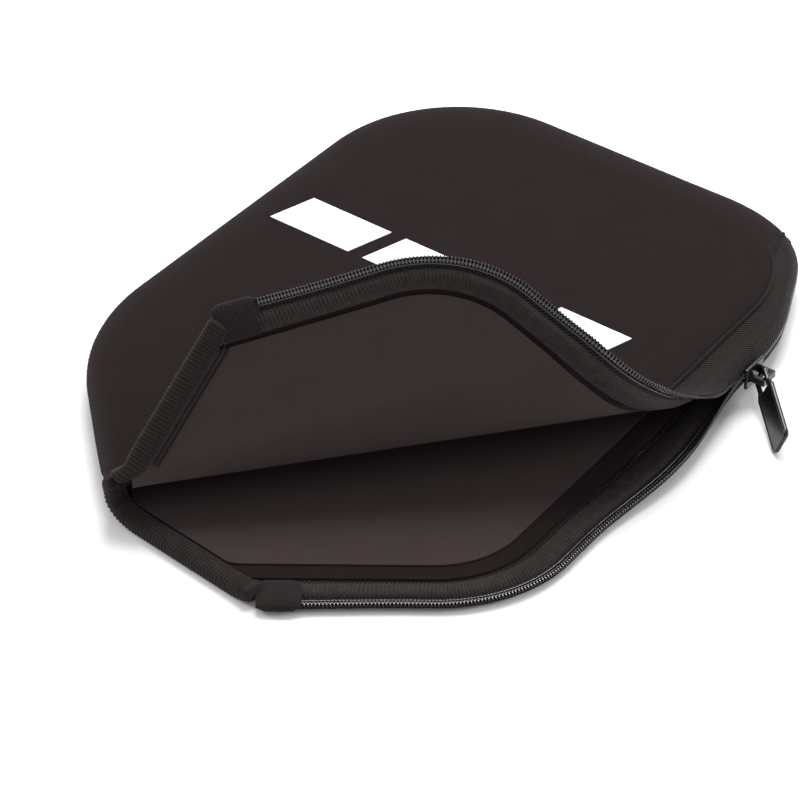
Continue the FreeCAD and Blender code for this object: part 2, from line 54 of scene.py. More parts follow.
MID = THICK / 2
EDGE_R = 9.0          # rounding of the case's edge
SOFT_EDGE = 24.0      # width over which the front rounds off, away from the throat
SOFT_FROM = 15.0      # it starts to widen this far inside the throat
SOFT_OVER = 60.0      # and has done after this length
FOAM = 3.0            # neoprene laminate
LINING_FACES = (0.1, 0.7)  # the lining's two faces, from the foam's
CUT_DROP = 1.1        # rounding of the foam's cut edges
CUT_WIDE = 1.6
BAND = 13.0           # zip tape, from the rim to the edge of the panel
BAND_TAPER = 14.0     # length over which the tape narrows at the zip's closed end
TAPE = 1.2
SINK_FROM = 3.0       # depth from which the tape sinks under the panel's face
SINK_OVER = 5.0
TUCK = 1.5            # the tape's reach under the panel
PITCH = 1.3           # of the zip coil
RIB = 1.5             # one stitch of the overlocked and bound edges
RIB_STEP = RIB / 5    # spacing of the points along a bound edge
HEM = 8.5             # bound edge of the throat, its width
HEM_HALF_THICK = 2.8
HEM_IN = HEM / 2 - 0.6  # its middle line, inside the throat line
HEM_THIN = 0.74       # its width at the throat corner, as a share
HEM_SWELLS = 14.0     # length over which it reaches its full width
TAB = 15.0            # woven tab over the end of each zip row
STITCH = 2.4          # one stitch of the sewn seams
APEX = np.array([-29.0, -139.4])  # where the fold lines meet, at the left throat corner
APEX_INSET = 2.33     # how far inside the outline the apex lies
FOLD_DIRS = np.radians([53.0, 48.9, 45.0, 40.8, 36.4])
FOLD_TURNS = np.radians([18.0, 33.0, 36.0, 26.0, 12.0])  # by how much the photographed flap is open
THROAT_LEFT = np.array([-33.0, -139.0])
THROAT_DIR = math.radians(-6.0)
SLIDER_Y = 61.0
SHARP = 48.0          # edges that turn by more are shaded sharp
ZIP_TOP = np.array([77.0, 137.0])
# corners of the outline, clockwise from the top left: x, y and rounding
CORNERS = np.array([
    (-105.0, 148.0, 65.0),
    (106.8, 148.0, 65.0),
    (115.1, -92.8, 58.0),
    (6.0, -173.0, 0.0),
    (-105.0, -76.2, 79.0)])
NECK_CORNER = 3       # the one past the throat, which is cut off

# how the soft rim leaves the CAD's outline; s is the length along the rim past the slider
SLIDER_STRETCH = (0.0, 110.0)  # the s where the free rim is sprung out, most in the middle
SHOULDER_STRETCH = (120.0, 250.0)
FLAP_SPRUNG = (2.0, -3.0)  # by how much on the two stretches
BACK_SPRUNG = (6.0, -1.5)
SPRUNG_DEEP = 40.0    # depth at which that has faded out
DRAWN_ZIPPED = 3.0    # how far the closed rim is drawn in where it is zipped
DRAWN_SEWN = 2.2      # and where it is sewn
DRAWN_DEEP = 12.0
ZIPPED_END = -8.0     # the s just behind the slider
TOP_EASE = 50.0       # length over which the drawing in starts behind the slider
LEFT_GAP = 10.0       # it starts this far past the throat's left end
LEFT_EASE = 70.0      # and takes this length
ZIP_END_EASE = 25.0   # length over which it fades at the zip's closed end
# the flap's rim drops below its panel, but is lifted round the middle fold lines
FLAP_DROP = 4.0
FLAP_LIFT = 5.0
LIFT_AT = 46.0        # degrees round the apex
LIFT_WIDE = 4.0
FLAT_FROM = 49.5      # degrees: the rim is flat below this, and has the closed rounding
FLAT_OVER = 6.0       # this much above it
# the back's rim rises beside the slider and lies almost flat further on
BACK_LOW = 0.3
BACK_RISE = 6.5
BACK_FALL = 5.3
FALL_FROM = 30.0
FALL_OVER = 80.0
BACK_EASE = 50.0
OUTSIDE = 1.2         # both curves go on to this share of the band, a little outside the rim


def unit(v):
    """Vectors scaled to length 1."""
    return v / np.maximum(np.linalg.norm(v, axis=-1, keepdims=True), 1e-12)


def smooth(t):
    """A smooth step from 0 to 1."""
    t = np.clip(t, 0.0, 1.0)
    return t * t * (3 - 2 * t)


def ray(angle):
    """Unit vectors in the plane, from angles in radians."""
    return np.stack([np.cos(angle), np.sin(angle)], axis=-1)


def line_length(line):
    """Length along a line of points, up to each of them."""
    return np.concatenate([[0], np.cumsum(np.linalg.norm(np.diff(line, axis=0), axis=1))])


def follow(places, gone, line):
    """Points at places along a plane line, from its points and its length up to each of them."""
    return np.stack([np.interp(places, gone, line[:, k]) for k in (0, 1)], axis=-1)


# ------ outline
ALONG_THROAT = ray(THROAT_DIR)
INTO_CASE = ray(THROAT_DIR + math.pi / 2)
# inward normals of the side after each corner, the two that meet at it, and the roundings' centres
INWARD = unit(np.roll(CORNERS[:, :2], -1, axis=0) - CORNERS[:, :2])[:, ::-1] * (1, -1)
NEAR = [np.array([INWARD[i - 1], INWARD[i]]) for i in range(len(CORNERS))]
CENTRES = [CORNERS[i, :2] + np.linalg.solve(NEAR[i], [CORNERS[i, 2]] * 2) for i in range(len(CORNERS))]


def inset(p):
    """How far inside the closed outline points lie."""
    depth = np.min([(p - CORNERS[i, :2]) @ INWARD[i] for i in range(len(CORNERS))], axis=0)
    for i, (_, _, radius) in enumerate(CORNERS):
        if radius:
            away = p - CENTRES[i]
            beside = (away @ np.linalg.inv(-NEAR[i]) > 0).all(axis=-1)
            depth = np.where(beside, radius - np.linalg.norm(away, axis=-1), depth)
    return depth


def throat(p):
    """How far inside the throat line points lie."""
    return (p - THROAT_LEFT) @ INTO_CASE


def inside(p):
    """How far inside the whole case points lie."""
    return np.minimum(inset(p), throat(p))


ARC_POINTS = 160
RIM_POINTS = 4001


def rim_line():
    """The outline as a dense closed line, clockwise, with its length so far."""
    runs = []
    for i, (_, _, radius) in enumerate(CORNERS):
        first = math.atan2(*-INWARD[i - 1][::-1])
        last = math.atan2(*-INWARD[i][::-1])
        if last > first:
            last -= 2 * math.pi
        runs.append(CENTRES[i] + radius * ray(np.linspace(first, last, ARC_POINTS)))
    corners = np.concatenate(runs + [runs[0][:1]])
    gone = line_length(corners)
    even = np.linspace(0, gone[-1], RIM_POINTS)
    return follow(even, gone, corners), even


RIM, RIM_GONE = rim_line()
ROUND = RIM_GONE[-1]
right_side = np.abs(RIM[:, 1] - SLIDER_Y) + np.where(RIM[:, 0] < 0, 1e3, 0)
SLIDER_GONE = RIM_GONE[np.argmin(right_side)]


def rim(s, depth=0.0):
    """Points at a depth inside the rim, s mm past the slider going round by the open end."""
    at = np.mod(np.asarray(s, float) + SLIDER_GONE, ROUND)
    step = 0.4
    here = follow(at, RIM_GONE, RIM)
    ahead = follow(np.mod(at + step, ROUND), RIM_GONE, RIM)
    behind = follow(np.mod(at - step, ROUND), RIM_GONE, RIM)
    along = unit(ahead - behind)
    inward = np.stack([along[..., 1], -along[..., 0]], axis=-1)
    return here + inward * np.asarray(depth)[..., None], inward


def gone_at(p):
    """The s of the rim point nearest to each point, from -ROUND/2 to ROUND/2."""
    flat = p.reshape(-1, 2)
    every = 4
    near = RIM[::every]
    at_once = 800
    found = []
    for part in np.array_split(flat, len(flat) // at_once + 1):
        away = ((part[:, None] - near[None]) ** 2).sum(-1)
        found.append(np.argmin(away, axis=1))
    s = RIM_GONE[::every][np.concatenate(found)] - SLIDER_GONE
    return (np.mod(s + ROUND / 2, ROUND) - ROUND / 2).reshape(p.shape[:-1])


# the s of the zip's closed end, of its open end at the throat, of the throat's left end and of the neck
S_TOP = float(gone_at(ZIP_TOP[None])[0])
past_slider = np.linspace(100, 300, 2001)
S_END = float(past_slider[np.argmin(np.abs(throat(rim(past_slider)[0])))])
S_LEFT = float(gone_at(THROAT_LEFT[None])[0])
S_NECK = float(gone_at(CORNERS[NECK_CORNER, :2][None])[0])


def band_width(s):
    """Width of the zip tape at s: it narrows to nothing at the zip's closed end."""
    return BAND * np.clip((s - S_TOP) / BAND_TAPER, 0, 1) ** 0.6 * (s > S_TOP) * (s < S_NECK)


def bulge(s, by_slider, by_shoulder):
    """How far the free rim has sprung outwards, from its greatest reach on two stretches."""
    total = 0.0
    for (first, last), most in ((SLIDER_STRETCH, by_slider), (SHOULDER_STRETCH, by_shoulder)):
        hump = most * np.sin(np.pi * (s - first) / (last - first)) ** 2
        total = total + np.where((s > first) & (s < last), hump, 0)
    return total


def rounding(depth, p=None):
    """Height of the closed front's outer face. With p it rounds off softly away from the throat."""
    width = EDGE_R
    if p is not None:
        width = EDGE_R + (SOFT_EDGE - EDGE_R) * smooth((throat(p) - SOFT_FROM) / SOFT_OVER)
    return THICK - EDGE_R + EDGE_R * np.sqrt(np.maximum(1 - np.clip(1 - depth / width, 0, 1) ** 2, 0))


# ------ the peel
def fold_turns():
    """The fold lines where they lie when peeled, and the flap's turn past all of them."""
    turned = np.eye(3)
    lines = []
    for direction, angle in zip(FOLD_DIRS, FOLD_TURNS):
        line = np.array([math.cos(direction), math.sin(direction), 0.0])
        lines.append(turned @ line)
        turned = turned @ np.array(Matrix.Rotation(-angle, 3, Vector(line)))
    return np.array(lines), turned


FOLD_LINES, FLAP_TURN = fold_turns()


def spatial(angle):
    """Unit vectors in space, in the plane of the front panel."""
    return np.stack([np.cos(angle), np.sin(angle), np.zeros_like(angle)], axis=-1)


def fan_direction(theta):
    """Where a ray from the apex at angle theta points when peeled: a cubic between the fold lines."""
    shape = theta.shape
    theta = theta.reshape(-1)
    closed = spatial(theta)
    out = np.where((theta > FOLD_DIRS[0])[:, None], closed, closed @ FLAP_TURN.T)
    quarter = math.pi / 2
    slopes = np.empty_like(FOLD_LINES)
    slopes[1:-1] = (FOLD_LINES[2:] - FOLD_LINES[:-2]) / (FOLD_DIRS[2:] - FOLD_DIRS[:-2])[:, None]
    slopes[0] = spatial(FOLD_DIRS[:1] + quarter)[0]
    slopes[-1] = spatial(FOLD_DIRS[-1:] + quarter)[0] @ FLAP_TURN.T
    for k in range(len(FOLD_DIRS) - 1):
        high, low = FOLD_DIRS[k], FOLD_DIRS[k + 1]
        here = (theta <= high) & (theta >= low)
        t = ((theta[here] - high) / (low - high))[:, None]
        rise = (low - high) * slopes[k]
        next_rise = (low - high) * slopes[k + 1]
        first = (2 * t ** 3 - 3 * t ** 2 + 1) * FOLD_LINES[k] + (t ** 3 - 2 * t ** 2 + t) * rise
        second = (3 * t ** 2 - 2 * t ** 3) * FOLD_LINES[k + 1] + (t ** 3 - t ** 2) * next_rise
        out[here] = unit(first + second)
    return out.reshape(*shape, 3)


def polar(p):
    """Distance and angle of points from the apex."""
    away = p - APEX
    theta = np.arctan2(away[..., 1], away[..., 0])
    return np.linalg.norm(away, axis=-1), np.where(theta < -math.pi / 2, theta + 2 * math.pi, theta)


def fan(p, z):
    """Points of the closed front, at heights z, carried to where they lie when peeled."""
    r, theta = polar(p)
    tiny = 1e-4
    direction = fan_direction(theta)
    across = fan_direction(theta + tiny) - fan_direction(theta - tiny)
    normal = unit(np.cross(direction, across))
    hinge = np.append(APEX, THICK)
    return hinge + r[..., None] * direction + (z - THICK)[..., None] * normal


def flap_height(p, depth):
    """Outer height of the front, easing from the closed rounding to a flatter rim along the flap."""
    r, theta = polar(p)
    near = np.minimum(depth, APEX_INSET + r)
    closed = rounding(near, p)
    degrees = np.degrees(theta)
    drop = FLAP_DROP - FLAP_LIFT * np.exp(-((degrees - LIFT_AT) / LIFT_WIDE) ** 2)
    flat = THICK - drop * np.clip(1 - depth / BAND, 0, OUTSIDE) ** 1.5
    flat = np.minimum(flat, rounding(APEX_INSET + r))
    share = smooth((degrees - FLAT_FROM) / FLAT_OVER)
    return share * closed + (1 - share) * flat


def back_height(s, depth):
    """Outer height of the back, easing from the closed rounding to a flatter rim along the open zip."""
    closed = THICK - rounding(depth)
    rise = BACK_RISE - BACK_FALL * smooth((s - FALL_FROM) / FALL_OVER)
    flat = BACK_LOW + rise * np.clip(1 - depth / BAND, 0, OUTSIDE) ** 1.7
    share = smooth(s / BACK_EASE)
    return share * flat + (1 - share) * closed


def drawn_in(s, depth):
    """How far the rim is drawn in, from the throat round to the slider."""
    s = np.mod(s + ROUND / 2, ROUND) - ROUND / 2
    t = np.clip((s - S_TOP) / (ZIPPED_END - S_TOP), 0, 1)
    zipped = DRAWN_ZIPPED * np.sin(np.pi * t) ** 2
    off_zip_end = 1 - np.exp(-((s - S_TOP) / ZIP_END_EASE) ** 2)
    past_left = smooth((s - S_LEFT - LEFT_GAP) / LEFT_EASE)
    behind_slider = smooth((ZIPPED_END - s) / TOP_EASE)
    sewn = DRAWN_SEWN * off_zip_end * np.where(s > 0, past_left, behind_slider)
    return (zipped + sewn) * np.clip(1 - depth / DRAWN_DEEP, 0, 1)


def sprung(p, s, depth, flap):
    """Closed-plane points moved with the rim: along the ray on the flap, straight out on the back."""
    fading = np.clip(1 - depth / SPRUNG_DEEP, 0, 1) ** 2
    inward = rim(s)[1]
    p = p + inward * drawn_in(s, depth)[..., None]
    if flap:
        return p + unit(p - APEX) * (bulge(s, *FLAP_SPRUNG) * fading)[..., None]
    return p - inward * (bulge(s, *BACK_SPRUNG) * fading)[..., None]


def rim_point(s, depth, lift, flap):
    """Points on the zip side, at s and a depth from the rim, lifted inwards from the tape's outer face."""
    s, depth, lift = np.broadcast_arrays(s, depth, lift)
    p, _ = rim(s, depth)
    p = sprung(p, s, depth, flap)
    sunk = TAPE * smooth((depth - SINK_FROM) / SINK_OVER)
    if flap:
        return fan(p, flap_height(p, depth) - sunk - lift)
    z = back_height(s, depth) + sunk * 0.6 + lift
    return np.concatenate([p, z[..., None]], axis=-1)


# ------ meshes
def grid_faces(rows, columns, start=0, wrap=False):
    """Quads of a grid of points, row by row, closed round each row where it wraps."""
    faces = []
    for i in range(rows - 1):
        for j in range(columns if wrap else columns - 1):
            after = (j + 1) % columns
            a = start + i * columns
            faces.append((a + j, a + after, a + columns + after, a + columns + j))
    return faces


def tube_faces(rings, corners):
    """Faces of a tube made of rings of points, with a cap at each end."""
    last = (rings - 1) * corners
    caps = [tuple(range(corners))[::-1], tuple(range(last, last + corners))]
    return grid_faces(rings, corners, 0, True) + caps


def join(points, faces, more, made):
    """Adds one more part's points and faces to the lists of a mesh."""
    start = len(points)
    faces += [tuple(i + start for i in face) for face in made]
    points += list(more)


def full_turn(corners):
    """Even angles round a full turn."""
    return np.linspace(0, 2 * math.pi, corners, endpoint=False)


def squarish(turn, power):
    """A round outline pulled towards a square by a power below 1: its two coordinates."""
    c, d = np.cos(turn), np.sin(turn)
    return np.sign(c) * np.abs(c) ** power, np.sign(d) * np.abs(d) ** power


def piece(name, points, faces, material, body, cad, marks=None, declare=None):
    """A mesh object from points in mm, riding a body and standing for CAD nodes."""
    mesh = bpy.data.meshes.new(name)
    mesh.from_pydata([tuple(v) for v in np.asarray(points) * MM], [], faces)
    for key, values in (marks or {}).items():
        layer = mesh.attributes.new(key, "FLOAT_VECTOR", "POINT")
        layer.data.foreach_set("vector", (np.asarray(values) * MM).astype(np.float32).ravel())
    made = bmesh.new()
    made.from_mesh(mesh)
    bmesh.ops.remove_doubles(made, verts=made.verts, dist=2e-6)
    bmesh.ops.recalc_face_normals(made, faces=made.faces)
    made.to_mesh(mesh)
    made.free()
    mesh.materials.append(material)
    mesh.shade_smooth()
    mesh.set_sharp_from_angle(angle=math.radians(SHARP))
    obj = bpy.data.objects.new(name, mesh)
    bpy.context.scene.collection.objects.link(obj)
    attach(obj, body)
    if cad:
        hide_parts(*cad)
    if declare:
        declare(obj)


def cloth_area(grid):
    """Area of a grid of points, in square metres, and the sides of a rectangle round it."""
    a, b, c = grid[:-1, :-1], grid[1:, :-1], grid[:-1, 1:]
    area = np.linalg.norm(np.cross(b - a, c - a), axis=-1).sum() * MM ** 2
    across = np.linalg.norm(np.diff(grid, axis=0), axis=-1).sum(axis=0).max() * MM
    along = np.linalg.norm(np.diff(grid, axis=1), axis=-1).sum(axis=1).max() * MM
    return float(area), float(across), float(along)


def as_sheet(grid):
    """Sizes a sheet of cloth from a grid of its points, and returns a step that does nothing with the
    size.

    The longest sides of a tapering or bent piece make too large a rectangle, which is then narrowed.
    """
    area, across, along = cloth_area(grid)
    width, length = sorted((across, along))
    least_filled = 0.31
    narrowed = 0.6
    if area < least_filled * width * length:
        width = area / (narrowed * length)
    if area > width * length:
        length = area / width

    def declare(obj):
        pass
    return declare


def as_foam(obj):
    """Takes a panel of foam laminate and does nothing with it."""


def thick_sheet(name, outer, inner, material, body, cad, slot, marks=None, held=None,
                wrap=False, foam=False, open_sides=False):
    """A sheet between two grids of points, closed round its edge."""
    rows, columns = outer.shape[:2]
    total = rows * columns
    points = np.concatenate([outer.reshape(-1, 3), inner.reshape(-1, 3)])
    faces = grid_faces(rows, columns, 0, wrap) + grid_faces(rows, columns, total, wrap)
    index = np.arange(total).reshape(rows, columns)
    borders = [index[0], index[-1]]
    if wrap:
        borders = [np.append(line, line[0]) for line in borders]
    elif not open_sides:
        borders += [index[:, 0], index[:, -1]]
    for line in borders:
        faces += [(a, b, b + total, a + total) for a, b in zip(line[:-1], line[1:])]
    doubled = {key: np.concatenate([values.reshape(-1, 3)] * 2) for key, values in (marks or {}).items()}
    declare = as_sheet(outer) if held else (as_foam if foam else None)
    piece(name, points, faces, material, body, cad, doubled, declare)


def grid_normals(grid, wrap=False):
    """Unit normals of a grid of points, facing up where the grid is level."""
    if wrap:
        padded = np.concatenate([grid[:, -1:], grid, grid[:, :1]], axis=1)
        along = np.gradient(padded, axis=1)[:, 1:-1]
    else:
        along = np.gradient(grid, axis=1)
    across = np.gradient(grid, axis=0)
    normal = np.cross(along, across)
    flat = np.linalg.norm(normal, axis=-1) < 1e-6
    normal[flat] = (0, 0, 1)
    normal = unit(normal)
    if normal[..., 2].mean() < 0:
        normal[~flat] *= -1
    return normal


FAR = 420.0           # beyond the case on any ray
HALVINGS = 44


def crossing(start, direction, value, level, near):
    """Distance along rays at which value() falls to a level, past a distance where it is higher."""
    low = np.broadcast_to(near, direction.shape[:-1]).astype(float).copy()
    high = np.full(direction.shape[:-1], FAR)
    for _ in range(HALVINGS):
        middle = (low + high) / 2
        above = value(start + direction * middle[..., None]) > level
        low = np.where(above, middle, low)
        high = np.where(above, high, middle)
    return (low + high) / 2


def plane_marks(p, s=None, depth=None):
    """Mesh attributes that the cloths read: place in the closed plane, and along the rim."""
    marks = {"cloth": np.concatenate([p, np.zeros(p.shape[:-1] + (1,))], axis=-1)}
    if s is not None:
        s, depth = np.broadcast_arrays(s, depth)
        marks["edge"] = np.stack([s, depth, np.zeros_like(depth)], axis=-1)
    return marks


# ------ materials
def principled(name, color, roughness, **sockets):
    """A new material and its shader, with constants on the shader's own sockets."""
    material = bpy.data.materials.new(name)
    material.use_nodes = True
    shader = material.node_tree.nodes["Principled BSDF"]
    shader.inputs["Base Color"].default_value = (*color, 1)
    shader.inputs["Roughness"].default_value = roughness
    for key, value in sockets.items():
        shader.inputs[key.replace("_", " ")].default_value = value
    return material, shader


def add_node(tree, kind, **inputs):
    """A node, with numbers set or links made on its inputs."""
    node = tree.nodes.new(kind)
    for key, value in inputs.items():
        place = int(key[1:]) if key[0] == "_" else key.replace("_", " ")
        if isinstance(value, bpy.types.NodeSocket):
            tree.links.new(value, node.inputs[place])
        else:
            node.inputs[place].default_value = value
    return node


def math_node(tree, operation, first, second=0.0):
    """One math operation on sockets or numbers."""
    node = add_node(tree, "ShaderNodeMath", _0=first, _1=second)
    node.operation = operation
    return node.outputs[0]


def marked(tree, key):
    """A mesh attribute as a vector, in metres."""
    node = tree.nodes.new("ShaderNodeAttribute")
    node.attribute_name = key
    return node.outputs["Vector"]


def blend_color(tree, share, dark, light):
    """Two colours mixed by a socket."""
    node = tree.nodes.new("ShaderNodeMix")
    node.data_type = "RGBA"
    tree.links.new(share, node.inputs["Factor"])
    node.inputs["A"].default_value = (*dark, 1)
    node.inputs["B"].default_value = (*light, 1)
    return node.outputs["Result"]


def bump(tree, shader, height, distance):
    """Bump on a shader from a height in 0 to 1 and a depth in metres."""
    node = add_node(tree, "ShaderNodeBump", Strength=1.0, Distance=distance, Height=height)
    tree.links.new(node.outputs[0], shader.inputs["Normal"])


def noise(tree, place, scale, detail):
    """Procedural noise over a place, in 0 to 1."""
    return add_node(tree, "ShaderNodeTexNoise", Vector=place, Scale=scale, Detail=detail).outputs["Fac"]


def knit(name, dark, light, stitch, roughness, sheen):
    """Fine jersey: rows and columns of stitches with a slight mottle."""
    material, shader = principled(name, dark, roughness, Sheen_Weight=sheen, Sheen_Roughness=0.45,
                                  Sheen_Tint=(0.9, 0.78, 0.76, 1), Specular_IOR_Level=0.12)
    tree = material.node_tree
    place = marked(tree, "cloth")
    split = add_node(tree, "ShaderNodeSeparateXYZ", Vector=place)
    per_metre = 2 * math.pi / (stitch * MM)
    columns = math_node(tree, "SINE", math_node(tree, "MULTIPLY", split.outputs[0], per_metre))
    rows = math_node(tree, "SINE", math_node(tree, "MULTIPLY", split.outputs[1], per_metre * 0.8))
    stitches = math_node(tree, "MULTIPLY", columns, rows)
    grain = noise(tree, place, 1600.0, 3.0)
    mottle = noise(tree, place, 70.0, 4.0)
    fine = math_node(tree, "MULTIPLY", grain, 0.7)
    share = math_node(tree, "ADD", fine, math_node(tree, "MULTIPLY", mottle, 0.4))
    tree.links.new(blend_color(tree, share, dark, light), shader.inputs["Base Color"])
    height = math_node(tree, "ADD", math_node(tree, "MULTIPLY", stitches, 0.35), grain)
    bump(tree, shader, height, 0.00022)
    return material


def woven(name, dark, light, across, along, roughness, sheen):
    """Herringbone tape: slanted yarns that turn back at each rib across the tape."""
    material, shader = principled(name, dark, roughness, Sheen_Weight=sheen, Sheen_Roughness=0.4,
                                  Specular_IOR_Level=0.15)
    tree = material.node_tree
    split = add_node(tree, "ShaderNodeSeparateXYZ", Vector=marked(tree, "edge"))
    zigzag = math_node(tree, "PINGPONG", split.outputs[1], across * MM)
    slanted = math_node(tree, "ADD", split.outputs[0], zigzag)
    yarns = math_node(tree, "SINE", math_node(tree, "MULTIPLY", slanted, 2 * math.pi / (along * MM)))
    height = math_node(tree, "ADD", math_node(tree, "MULTIPLY", yarns, 0.5), 0.5)
    grain = noise(tree, marked(tree, "cloth"), 2200.0, 2.0)
    share = math_node(tree, "MULTIPLY", height, grain)
    tree.links.new(blend_color(tree, share, dark, light), shader.inputs["Base Color"])
    bump(tree, shader, math_node(tree, "ADD", height, grain), 0.00025)
    return material


def thread(name, dark, light, roughness, sheen):
    """Twisted thread: fuzzy fibres over shape that the mesh carries."""
    material, shader = principled(name, dark, roughness, Sheen_Weight=sheen, Sheen_Roughness=0.4,
                                  Specular_IOR_Level=0.15)
    tree = material.node_tree
    place = tree.nodes.new("ShaderNodeTexCoord").outputs["Object"]
    fibres = noise(tree, place, 2600.0, 3.0)
    patches = noise(tree, place, 300.0, 2.0)
    share = math_node(tree, "MULTIPLY", fibres, math_node(tree, "ADD", patches, 0.6))
    tree.links.new(blend_color(tree, share, dark, light), shader.inputs["Base Color"])
    bump(tree, shader, fibres, 0.0002)
    return material


def glossy(name, color, roughness, scratch, **sockets):
    """Hard glossy surface with faint scratches and smudges."""
    material, shader = principled(name, color, roughness, **sockets)
    tree = material.node_tree
    place = tree.nodes.new("ShaderNodeTexCoord").outputs["Object"]
    smudge = noise(tree, place, 240.0, 4.0)
    spread = add_node(tree, "ShaderNodeMapRange", Value=smudge, From_Min=0.3, From_Max=0.7,
                      To_Min=roughness * 0.7, To_Max=roughness * 1.4).outputs[0]
    tree.links.new(spread, shader.inputs["Roughness"])
    bump(tree, shader, noise(tree, place, 1800.0, 2.0), scratch)
    return material


JERSEY = knit("neoprene_jersey", (0.0062, 0.0030, 0.0033), (0.0150, 0.0088, 0.0093), 0.9, 0.95, 0.03)
LINING = knit("lining_jersey", (0.032, 0.0215, 0.0222), (0.056, 0.039, 0.040), 0.6, 0.95, 0.06)
HERRINGBONE = woven("zip_tape_weave", (0.003, 0.002, 0.002), (0.050, 0.037, 0.035), 3.2, 1.5, 0.85, 0.04)
TAB_WEAVE = woven("tab_weave", (0.004, 0.003, 0.003), (0.052, 0.040, 0.038), 0.9, 1.0, 0.85, 0.05)
BINDING = thread("binding_thread", (0.0045, 0.0034, 0.0034), (0.036, 0.027, 0.026), 0.88, 0.05)
OVERLOCK = thread("overlock_thread", (0.0065, 0.0050, 0.0050), (0.060, 0.047, 0.046), 0.85, 0.05)
SEAM = thread("seam_thread", (0.004, 0.003, 0.003), (0.016, 0.012, 0.012), 0.88, 0.04)
COIL = glossy("coil_nylon", (0.018, 0.016, 0.016), 0.20, 0.00002, Specular_IOR_Level=1.0)
ENAMEL = glossy("black_enamel", (0.006, 0.0045, 0.0045), 0.14, 0.00001, Specular_IOR_Level=0.45)
PRINT = glossy("white_print", (0.84, 0.84, 0.85), 0.55, 0.00003)

# ------ panels
# rows of a panel's grid: by their depth near the rim, then by their share of the way to the centre
ROUNDING_ROWS = EDGE_R * (1 - np.cos(np.radians([0, 8, 18, 28, 38, 50, 62, 76, 90])))
LEVELS = np.concatenate([ROUNDING_ROWS, [13.0, 20.0]])
INNER_PARTS = np.linspace(0.97, 0.0, 30)
INNER_LEVEL = 30.0
THROAT_EDGE = 5.0     # the foam's edge is cut this near the throat line


def edge_drop(level):
    """Rounding of the cut edge of the foam beside the zip tape."""
    return CUT_DROP * np.clip(1 - level / CUT_WIDE, 0, 1) ** 2


def shell_grid(centre, angles, height):
    """Plane points and outer grid of one closed side: from the rim, over its rounding, to a centre."""
    direction = ray(angles)
    centre = np.asarray(centre, float)
    at_rim = crossing(centre, direction, inside, 0.0, 0.0)
    width = band_width(gone_at(centre + direction * at_rim[:, None]))
    zip_side = width > 0.5

    def span(p):
        return np.minimum(inset(p) - width, throat(p))

    rows = []
    levels = []
    for level in LEVELS:
        rows.append(centre + direction * crossing(centre, direction, span, level, 0.0)[:, None])
        levels.append(np.full(len(angles), level))
    last = rows[-1]
    for part in INNER_PARTS:
        rows.append(centre + (last - centre) * part)
        levels.append(np.full(len(angles), INNER_LEVEL))
    p = np.array([rows[0]] + rows)
    level = np.array([levels[0]] + levels)
    depth = np.maximum(inset(p), 0)
    z = height(p, depth)
    s = gone_at(p)
    p_drawn = p + rim(s)[1] * drawn_in(s, depth)[..., None]
    cut_edge = zip_side | (throat(p) < THROAT_EDGE)
    z = z - np.sign(z - MID) * edge_drop(level) * cut_edge
    sewn = (depth[0] < 0.5) & ~zip_side
    z[0] = np.where(sewn, MID, z[0])
    return p, np.concatenate([p_drawn, z[..., None]], axis=-1)


def make_side(prefix, centre, angles, height, wrap, held):
    """The foam panel and the lining of one fixed side of the case."""
    p, outer = shell_grid(centre, angles, height)
    up = grid_normals(outer, wrap)
    into = -up if outer[..., 2].mean() > MID else up
    inner = outer + into * FOAM
    inner[0, :, 2] = outer[0, :, 2]
    astray = (inset(inner[..., :2]) < inset(outer[..., :2])) | (inset(inner[..., :2]) < 0)
    inner[astray] = outer[astray]
    thick_sheet(f"{prefix}_panel_cloth", outer, inner, JERSEY, "case", [f"{prefix}_panel"],
                "neoprene_knit", plane_marks(p), wrap=wrap, foam=True)
    kept = slice(len(ROUNDING_ROWS), None)
    lined = [(outer + into * (FOAM + lift))[kept] for lift in LINING_FACES]
    thick_sheet(f"{prefix}_lining_cloth", *lined, LINING, "case", [f"{prefix}_lining"], "lining_knit",
                plane_marks(p[kept]), held, wrap)


def back_outer(_, depth):
    """Height of the back panel's outer face."""
    return THICK - rounding(depth)


make_side("back", (5.0, -5.0), np.radians(np.linspace(0, 360, 241)[:-1]), back_outer, True, "laid")
# the fixed part of the front is a half disc of rays, from the middle of the first fold line
hinge_middle = APEX + ray(FOLD_DIRS[0]) * 135.0
front_angles = FOLD_DIRS[0] + np.radians(np.linspace(0, 180, 181))
make_side("front", hinge_middle, front_angles, flap_height, False, "stretched")

# the peeled front: four wedges and the flap, each a grid of rays from the apex
RAY_START = 6.0
RAY_NEAR = 30.0       # every ray crosses the rim beyond this
PANEL_DEEP = 20.0     # depth of the last row before the closer ones by the tape
BODY_OF_FOLD = ["case", "fold_1", "fold_2", "fold_3", "fold_4", "flap"]
LAST = len(FOLD_DIRS)  # the flap's number; 0 is the case's and those between are the wedges'


